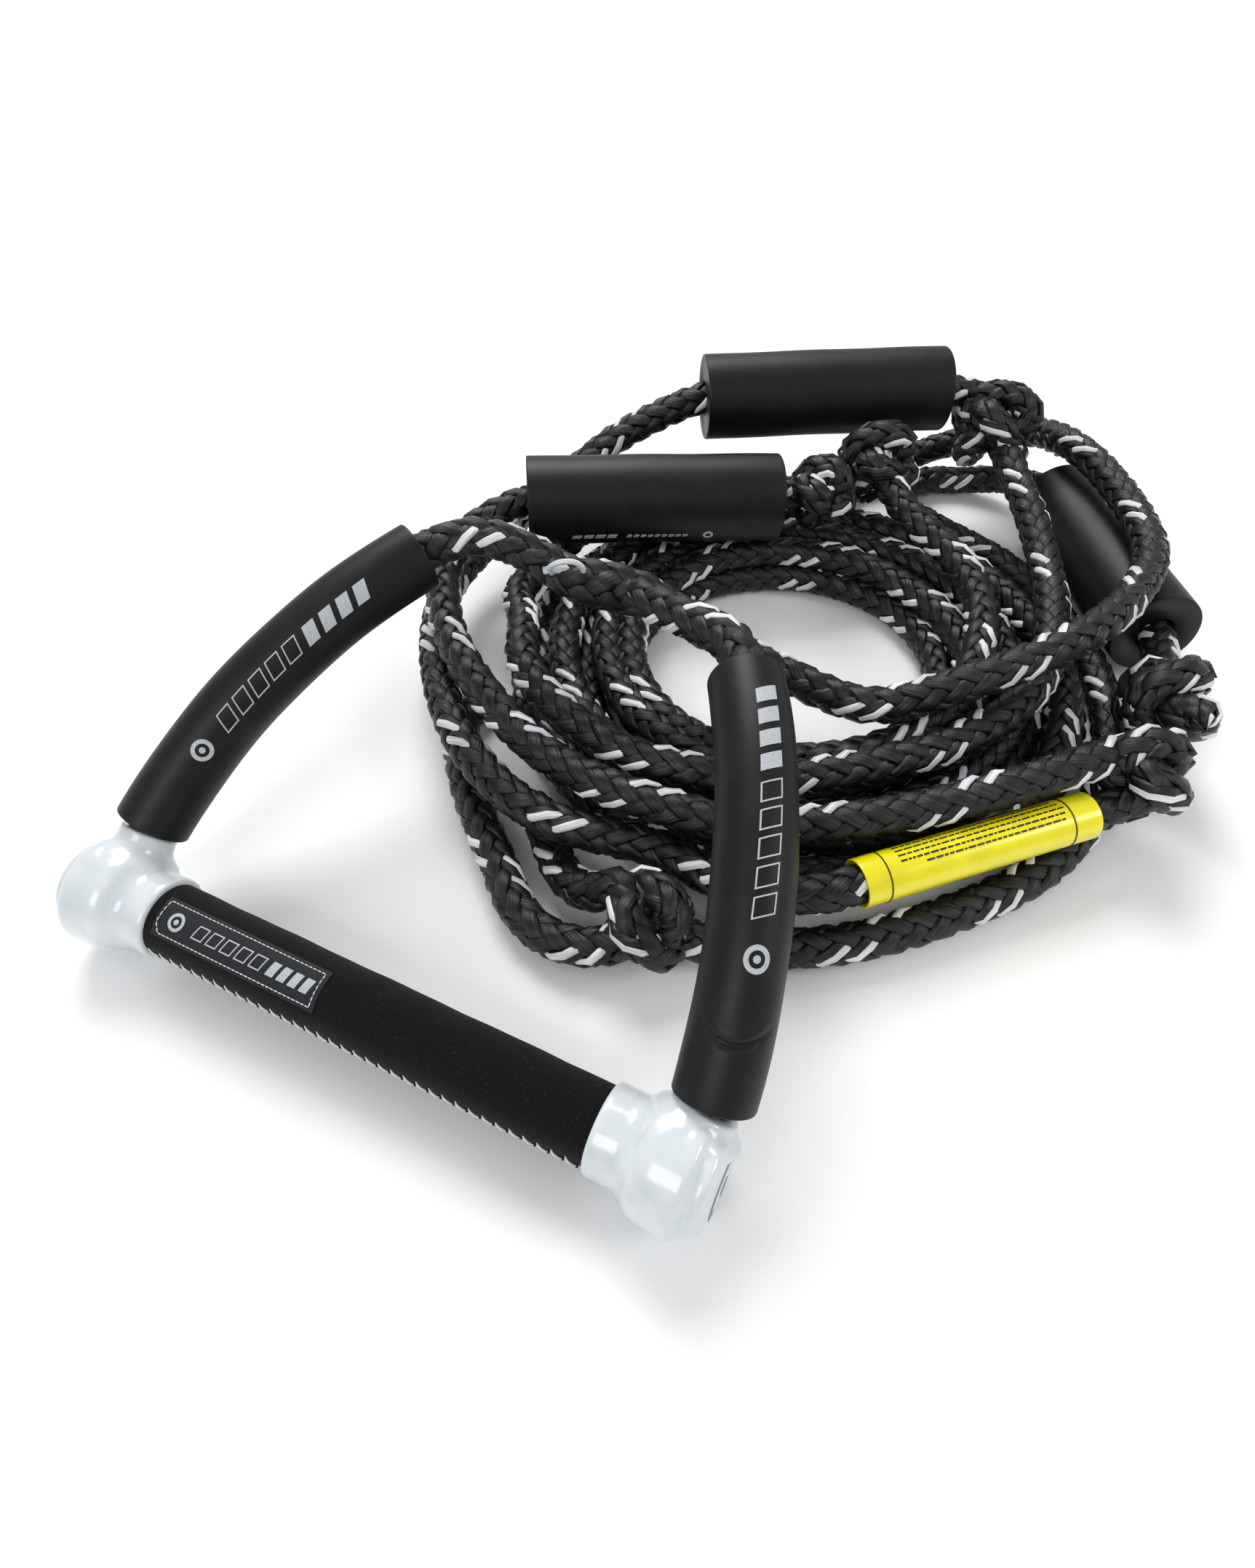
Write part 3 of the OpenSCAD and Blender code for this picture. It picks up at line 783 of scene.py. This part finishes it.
def float_grids(start, lean):
    """A ring with a dot, five outlined bars and four filled ones, which lean up or down the float."""
    grids = [ring_grid(start, 0, 2.6, 4.2), ring_grid(start, 0, 0.01, 1.2)]
    grids += bar_row(start + 12, height=7.5, count=5, width=6.5, gap=2.2, slant=lean, outlined=True)
    grids += bar_row(start + 57, height=7.5, count=4, width=5.5, gap=2.6, slant=lean, outlined=False)
    return grids


print("flat grids in one float's print:", len(float_grids(0, LEAN)))

# %% [markdown]
# Ink has a thickness. Each flat grid is bent onto the tube, a quarter of a millimetre above it so
# that the waves in the foam stay below, and becomes a closed slab that sinks into the foam. A
# slab is the grid, the same grid moved inwards, and a rim of quads between their edges.


# %% Prints on tubes
PRINT_PROUD, PRINT_DEPTH = 0.26, 0.6


def on_tube(grid, line, radius, facing):
    """Bends a grid of (along, across) onto a tube, with across = 0 at the facing angle."""
    along = distance_along(line)
    s, a = grid[..., 0], (facing + grid[..., 1] / radius)[..., None]
    middle, side, up = (read_at(s, along, values) for values in (line, *frames(line)))
    return middle + radius * (np.cos(a) * side + np.sin(a) * up)


def outward_faces(piece):
    """Turns the faces of a closed mesh outwards."""
    work = bmesh.new()
    work.from_mesh(piece.data)
    bmesh.ops.recalc_face_normals(work, faces=work.faces)
    work.to_mesh(piece.data)
    work.free()


def slabs(name, grids, centres, material, body, depth=PRINT_DEPTH):
    """Each grid becomes a closed slab: its top, the same grid moved towards a centre, and a rim."""
    points, faces, start = [], [], 0
    for grid, centre in zip(grids, centres):
        rows, columns = grid.shape[:2]
        count = rows * columns
        top = quad_faces(rows, columns, close_columns=False)
        edge = np.concatenate([np.arange(columns), np.arange(1, rows) * columns + columns - 1,
                               (rows - 1) * columns + np.arange(columns - 2, -1, -1),
                               np.arange(rows - 2, 0, -1) * columns])
        after = np.roll(edge, -1)
        rim = np.stack([edge, edge + count, after + count, after], 1)
        points += [grid.reshape(-1, 3), (grid + unit(centre - grid) * depth).reshape(-1, 3)]
        faces += [top + start, top[:, ::-1] + count + start, rim + start]
        start += 2 * count
    piece = make_piece(name, np.vstack(points), np.vstack(faces), [material], body=body, smooth=False)
    outward_faces(piece)
    return piece


def tube_print(name, grids, line, radius, facing, material, body):
    """Grids bent onto a tube, as slabs that stand a little proud of it."""
    proud = [on_tube(grid, line, radius + PRINT_PROUD, facing) for grid in grids]
    deep = [on_tube(grid, line, radius - 2, facing) for grid in grids]
    slabs(name, proud, deep, material, body)


tube_print("left_float_print", float_grids(38, LEAN), left_float_line, FLOAT_R, facing=0.72,
           material=PRINT_PALE, body="left_float")
tube_print("right_float_print", float_grids(46, -LEAN), right_float_line, FLOAT_R, facing=1.32,
           material=PRINT_PALE, body="right_float")
grip_row = bar_row(22, height=2.6, count=4, width=4.6, gap=1.4, slant=LEAN, outlined=False)
grip_row += bar_row(50, height=1.8, count=9, width=2.4, gap=1.2, slant=LEAN, outlined=True)
grip_row.append(ring_grid(92, 0, 1.6, 2.6))
tube_print("front_grip_print", grip_row, straight_line(FRONT_GRIP_AXIS, GRIP_BOW), GRIP_FOAM_R,
           facing=-0.42, material=PRINT_PALE, body="front_grip")

# %% [markdown]
# The yellow sleeve is a thin vinyl tube that floats loose on the rope. A solid cylinder would
# hide that it is hollow, and its open ends show the wall, so it is built as a shell with an
# inside, from the same profile as the foam with a finer edge. Thin black rings mark both ends,
# and rows of short ticks of uneven length stand for small printing.


# %% Sleeve
SLEEVE_R, SLEEVE_BORE_R = 9.9, 9.05
TICK_ROWS, TICK_PITCH, TICK_W, TICK_GAP = 7, 2.5, 0.6, 0.7

sleeve_line = straight_line(SLEEVE_AXIS)
sleeve_length = float(np.linalg.norm(SLEEVE_AXIS[1] - SLEEVE_AXIS[0]))


def sleeve_shell():
    """The tube's profile with a thin wall, swept round its axis."""
    profile = tube_profile(sleeve_length, SLEEVE_R, SLEEVE_BORE_R, edge=0.35)
    middle = SLEEVE_AXIS[0] + profile[:, :1] * unit(SLEEVE_AXIS[1] - SLEEVE_AXIS[0])
    side, up = (vectors[:1] for vectors in frames(sleeve_line))
    points = round_sweep(middle, side, up, profile[:, 1:, None], TUBE_SIDES)
    faces = quad_faces(len(profile), TUBE_SIDES, close_rows=True)
    piece = make_piece("sleeve_vinyl_tube", points.reshape(-1, 3), faces[:, ::-1], [vinyl], body="sleeve")
    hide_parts("safety_sleeve")


def sleeve_rings():
    """A thin ring near each end: a bar as wide as the tube's circumference."""
    half_round = SLEEVE_R * math.pi
    return [bar_grid(s, s + 0.5, -half_round, half_round, 0, 2, 64) for s in (9.5, sleeve_length - 13)]


def sleeve_ticks():
    """Rows of ticks of random length; the first row starts late and the last ones end early."""
    grids, random = [], np.random.default_rng(7)
    for row in range(TICK_ROWS):
        place = 26 if row == 0 else 16
        end = sleeve_length - 17 - 22 * random.random() * (row > 4)
        across = row * TICK_PITCH - 7.9
        while place < end:
            tick = 1.0 + 2.6 * random.random()
            grids.append(bar_grid(place, place + tick, across, across + TICK_W, 0, 3, 2))
            place += tick + TICK_GAP
    return grids


sleeve_shell()
tube_print("sleeve_print", sleeve_rings() + sleeve_ticks(), sleeve_line, SLEEVE_R, facing=1.9,
           material=PRINT_BLACK, body="sleeve")

# %% [markdown]

# %% [markdown]
# The end caps are moulded in one piece each: a sleeve on the bar, a soft shoulder, a wide bulge
# round the knot, a groove and a domed end, with a neck for the rope that flows out of the bulge.
# Each part is turned, as on a lathe: the body round the bar's axis, and the flared neck round its
# own. A boolean would join them with a hard line, but a mould's shapes flow into each other, so
# the two closed forms are wrapped in one fine skin of voxels, which is then relaxed.


# %% End caps
BAR_Y, BAR_Z, NECK_X = -3.0, 22.0, 118.0
NECK_START, NECK_R, NECK_FLARE = 14, 10.7, 5.5
CAP_SIDES = 96
CAP_VOXEL = 0.7     # mm, fine enough for the groove behind the dome


def turned(origin, axis, profile, name):
    """A closed surface turned round an axis from (distance along, radius) pairs."""
    z = unit(np.array(axis, dtype=float))
    x = unit(np.cross(z, [0.2, 0.3, 1.0]))
    points = round_sweep(np.array(origin, dtype=float) + profile[:, :1] * z, x[None],
                         np.cross(z, x)[None], profile[:, 1:, None], CAP_SIDES)
    mesh = bpy.data.meshes.new(name)
    mesh.from_pydata((points * MM).reshape(-1, 3).tolist(), [], closed_tube_faces(len(profile), CAP_SIDES))
    return mesh


def cap_profile():
    """Distance along the bar from its middle, and radius: a smooth curve through the mould's shape."""
    sleeve_end = [[92, 14.6], [92.3, 15.5], [93, 15.9], [98, 15.9], [103, 16.0]]
    bulge = [[106, 17.4], [109.5, 20.3], [113, 21.4], [119, 21.8], [124, 22.1], [126, 21.6]]
    groove = [[127.2, 20.2], [127.9, 18.6], [128.8, 18.0], [130.4, 18.1]]
    dome = [[132, 17.4], [133.4, 15.2], [134.4, 11.6], [134.9, 6.0], [135.1, 0.5]]
    shape = np.array(sleeve_end + bulge + groove + dome)
    return smooth_route(np.column_stack([shape, np.zeros(len(shape))]), 0.6)[:, :2]


def neck_profile(length):
    """A neck whose foot flares out to meet the bulge: its radius falls as a bell curve along it."""
    along = NECK_START + (length - NECK_START) * np.linspace(0, 1, 20)
    radius = NECK_R + NECK_FLARE * np.exp(-((along - NECK_START) / 4.5) ** 2)
    lip = np.array([[length + 0.4, 10.3], [length + 0.5, 9.0]])
    return np.vstack([np.stack([along, radius], 1), lip])


def join_smooth(name, meshes, material):
    """Joins closed meshes under one skin of voxels and relaxes it, so that where they meet is round."""
    work = bmesh.new()
    for mesh in meshes:
        work.from_mesh(mesh)
    bmesh.ops.recalc_face_normals(work, faces=work.faces)
    data = bpy.data.meshes.new(name)
    work.to_mesh(data)
    work.free()
    piece = bpy.data.objects.new(name, data)
    bpy.context.scene.collection.objects.link(piece)
    remesh = piece.modifiers.new("skin", "REMESH")
    remesh.mode = "VOXEL"
    remesh.voxel_size = CAP_VOXEL * MM
    relax = piece.modifiers.new("relax", "SMOOTH")
    relax.factor = 0.5
    relax.iterations = 3
    done = bpy.data.meshes.new_from_object(piece.evaluated_get(bpy.context.evaluated_depsgraph_get()))
    piece.modifiers.clear()
    piece.data = done
    done.materials.clear()
    done.materials.append(material)
    done.polygons.foreach_set("use_smooth", np.full(len(done.polygons), True))
    return piece


for side_name, sign, float_axis in (("left", -1, LEFT_FLOAT_AXIS), ("right", 1, RIGHT_FLOAT_AXIS)):
    inner_end = np.array([sign * NECK_X, BAR_Y, BAR_Z])
    reach = np.array(float_axis[0], dtype=float) - inner_end
    body = turned([0, BAR_Y, BAR_Z], [sign, 0, 0], cap_profile(), "cap_body")
    neck = turned(inner_end, reach, neck_profile(np.linalg.norm(reach) - 3.0), "cap_neck")
    cap = join_smooth(f"{side_name}_cap_shell", [body, neck], gloss)
    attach(cap, "root")
    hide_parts(f"{side_name}_end_cap", f"{side_name}_end_button")
    print(cap.name, "faces:", len(cap.data.polygons))

# %% [markdown]
# The grip is a sheet of suede-like wrap sewn round the bar, and its edges meet low on the front,
# where the thread pulls small puckers into it. A cylinder with a bump map would keep a straight
# outline. So the wrap is one surface whose radius is a sum: round, with a dip along the seam, a
# wave with the stitches' pitch that fades on both sides of it, and soft unevenness all over.

# %% Grip wrap
GRIP_HALF, GRIP_R, STITCH_PITCH = 92.0, 14.0, 5.2
SEAM = math.radians(180 + 12)       # 0 points back, 90 degrees up and 180 forward
WRAP_ROWS, WRAP_COLUMNS = 560, 128  # about sixteen rows to a pucker


def bar_point(x, angle, radius):
    """A point round the bar: angle 0 points back, 90 degrees up, 180 forward."""
    y, z = BAR_Y + radius * np.cos(angle), BAR_Z + radius * np.sin(angle)
    return np.stack(np.broadcast_arrays(x, y, z), -1)


def wrap_surface():
    """The wrap's radius over length and angle: round, with a puckered seam."""
    x, a = np.linspace(-GRIP_HALF, GRIP_HALF, WRAP_ROWS)[:, None], ring_angles(WRAP_COLUMNS)[None]
    from_seam = (np.mod(a - SEAM + np.pi, 2 * np.pi) - np.pi) * GRIP_R
    pucker = 0.35 * np.cos(2 * np.pi * x / STITCH_PITCH) * np.exp(-(from_seam / 2.4) ** 2)
    groove = 0.9 * np.exp(-(from_seam / 0.7) ** 2)
    soft = 0.1 * np.sin(x * 0.13 + 2 * np.sin(a)) + 0.05 * np.sin(x * 0.31 + a * 3)
    points = bar_point(x, a, GRIP_R - 0.1 + pucker - groove + soft)
    faces = closed_tube_faces(WRAP_ROWS, WRAP_COLUMNS)
    piece = make_piece("grip_wrap_suede", points.reshape(-1, 3), faces, [suede])
    outward_faces(piece)
    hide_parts("grip_wrap", "handle_tube", "tube_foam_core")


wrap_surface()

# %% [markdown]
# The seam is whip stitched with waxed thread, white over black. A stitch is a short line that
# arches over the seam and dives into the wrap at both ends. A bevelled curve could draw it, but
# some 70 stitches are lighter as one mesh of six-sided tubes for each colour.


# %% Stitches
THREAD_R, THREAD_SIDES = 0.5, 6


def thread_tubes(name, lines, radius, material, replaced=None):
    """Thin threads: a six-sided tube round each short line, tapered at both ends as a root of sine."""
    points, faces, start = [], [], 0
    for line in lines:
        forward = unit(np.gradient(line, axis=0))
        side = unit(np.cross(forward, [0.13, 0.31, 0.94]))
        taper = radius * np.sqrt(np.sin(np.linspace(0.12, np.pi - 0.12, len(line))))[:, None, None]
        rings = round_sweep(line, side, np.cross(side, forward), taper, THREAD_SIDES)
        points.append(rings.reshape(-1, 3))
        faces += closed_tube_faces(len(line), THREAD_SIDES, start)
        start += len(line) * THREAD_SIDES
    piece = make_piece(name, np.vstack(points), faces, [material])
    outward_faces(piece)
    if replaced:
        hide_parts(replaced)


def whip_stitches(shift, slope, width):
    """Short arches across the seam, one per pitch, each leaning along the bar; the fourth power keeps
    them flat in the middle and sinks their ends."""
    t = np.linspace(-1, 1, 9)
    angle, height = SEAM + width * t / GRIP_R, GRIP_R + 0.25 - 0.75 * t ** 4
    starts = np.arange(-GRIP_HALF + 3, GRIP_HALF - 2, STITCH_PITCH)
    return [bar_point(x + shift + slope * t, angle, height) for x in starts]


thread_tubes("grip_stitches_white", whip_stitches(0, 2.0, 3.4), THREAD_R, THREAD_WHITE, "grip_lacing")
thread_tubes("grip_stitches_black", whip_stitches(2.4, -0.4, 1.9), THREAD_R, THREAD_BLACK)

# %% [markdown]
# A woven label is sewn on top of the grip at its left end, with a border of running stitches and
# plain printed bars. It could be a coloured patch of the wrap's material, but a real label has an
# edge that casts a thin shadow, so the cloth, its thread and its print are slabs and tubes bent
# round the bar, each a little higher than the last.


# %% Label
LABEL_X0, LABEL_X1 = -88.0, -14.0
LABEL_FRONT, LABEL_BACK = math.radians(90 + 53), math.radians(90 - 10)
LABEL_HALF = (LABEL_FRONT - LABEL_BACK) / 2 * GRIP_R
BORDER_PITCH, BORDER_THREAD_R = 1.9, 0.22
MARK_LEAN, MARK_DEPTH = -0.3, 0.3


def on_label(grid, height):
    """Bends a grid of (x along the bar, across from the label's middle to the front) round the bar."""
    middle = (LABEL_FRONT + LABEL_BACK) / 2
    return bar_point(grid[..., 0], middle + grid[..., 1] / GRIP_R, GRIP_R + height)


def label_cloth():
    """The cloth: one bar as large as the label, with a random roughness of 0.03 mm."""
    flat = bar_grid(LABEL_X0, LABEL_X1, -LABEL_HALF, LABEL_HALF, 0, 80, 18)
    cloth = on_label(flat, 0.45)
    cloth = cloth + np.random.default_rng(3).normal(0, 0.03, cloth.shape)
    label = slabs("grip_label_cloth", [cloth], [on_label(flat, -6)], LABEL_CLOTH, "root")
    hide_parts("grip_label")


def border_stitches():
    """Dashes of thread round the label's border, a millimetre and a half inside its edge."""
    x0, x1, w = LABEL_X0 + 1.8, LABEL_X1 - 1.8, LABEL_HALF - 1.6
    corners = np.array([[x0, -w], [x1, -w], [x1, w], [x0 + 1.5, w], [x0 - 0.6, w - 3.5], [x0, -w]])
    arch = 0.5 + 0.12 * np.sin(np.linspace(0, np.pi, 5))
    lines = []
    for a, b in zip(corners[:-1], corners[1:]):
        count = max(1, int(np.linalg.norm(b - a) / BORDER_PITCH))
        for i in range(count):
            t = (i + np.linspace(0.06, 0.94, 5)) / count
            lines.append(on_label(a + (b - a) * t[:, None], arch))
    return lines


def label_marks():
    """The same plain bars as on the floats: five in outline, four filled, and a ring with a dot."""
    grids = bar_row(-70, height=5.2, count=5, width=4.9, gap=1.7, slant=MARK_LEAN, outlined=True,
                    line_w=0.45)
    grids += bar_row(-36, height=5.2, count=4, width=3.3, gap=1.6, slant=MARK_LEAN, outlined=False)
    grids += [ring_grid(-79, 0, 2.2, 3.4), ring_grid(-79, 0, 0.01, 1.0)]
    top, deep = ([on_label(grid, height) for grid in grids] for height in (0.62, -4))
    slabs("label_marks", top, deep, PRINT_PALE, "root", depth=MARK_DEPTH)


label_cloth()
thread_tubes("label_border_stitches", border_stitches(), BORDER_THREAD_R, THREAD_WHITE)
label_marks()

# %% [markdown]
# The caps' domed ends carry a pad-printed mark in grey: a plain ring with a dot in the middle.
# Rings are simple in polar form, and their distance along the bar is read from the dome's own
# profile, so that they follow it.


# %% Mark on the domed ends
DOME_R = [0, 6, 11.6, 15.2]
DOME_X = [135.1, 134.9, 134.4, 133.4]


def dome_mark(sign, name):
    """A dot and a ring on the dome: polar grids laid on its profile, and 0.12 mm above it."""
    a, out = np.meshgrid(np.linspace(0, 2 * np.pi, 65), np.linspace(0, 1, 5), indexing="ij")
    top = []
    for r0, r1 in ((0.02, 3.4), (8.6, 11.4)):
        r = r0 + (r1 - r0) * out
        x = np.interp(r, DOME_R, DOME_X) + 0.12
        top.append(np.stack([sign * x, BAR_Y + r * np.cos(a), BAR_Z + r * np.sin(a)], -1))
    deep = [grid - np.array([sign * 3.0, 0, 0]) for grid in top]
    slabs(name, top, deep, PRINT_GREY, "root", depth=MARK_DEPTH)


dome_mark(1, "right_cap_print")
dome_mark(-1, "left_cap_print")

# %% [markdown]
# The set is a pale floor and soft light: one large lamp behind and to the left, which draws the
# long highlights on the foam, weaker ones in front and on the right, and an even sky. A sun would
# give hard shadows, and large square lamps give soft ones.

# %% Floor and light
FLOOR_HALF = 3      # metres
floor_mesh = bpy.data.meshes.new("floor")
floor_corners = [(x * FLOOR_HALF, y * FLOOR_HALF, 0) for x, y in ((-1, -1), (1, -1), (1, 1), (-1, 1))]
floor_mesh.from_pydata(floor_corners, [], [(0, 1, 2, 3)])
floor_material, _, _ = new_material("pale_floor", "#f7f7f7", 0.9)
floor_mesh.materials.append(floor_material)
floor = bpy.data.objects.new("floor", floor_mesh)
bpy.context.scene.collection.objects.link(floor)


def area_light(name, place, target, size, power):
    """A square lamp that faces a target."""
    data = bpy.data.lights.new(name, "AREA")
    data.size = size
    data.energy = power
    lamp = bpy.data.objects.new(name, data)
    z = unit(np.array(place, dtype=float) - np.array(target, dtype=float))
    x = unit(np.cross([0.0, 0.0, 1.0], z))
    lamp.matrix_world = standing(x, np.cross(z, x), z, place)
    bpy.context.scene.collection.objects.link(lamp)
    print(f"{name} lamp: {power} W")


area_light("key", (-1.3, 1.9, 2.6), (0.05, 0.2, 0.0), 1.7, 80)
area_light("front", (-0.2, -2.4, 2.2), (0.05, 0.1, 0.0), 1.5, 32)
area_light("right", (2.8, 0.7, 2.0), (0.05, 0.2, 0.0), 1.1, 22)
world = bpy.data.worlds.new("sky")
world.use_nodes = True
background = world.node_tree.nodes["Background"]
background.inputs["Color"].default_value = linear("#f4f6f8")
background.inputs["Strength"].default_value = 0.55
bpy.context.scene.world = world
bpy.context.scene.view_settings.view_transform = "Standard"
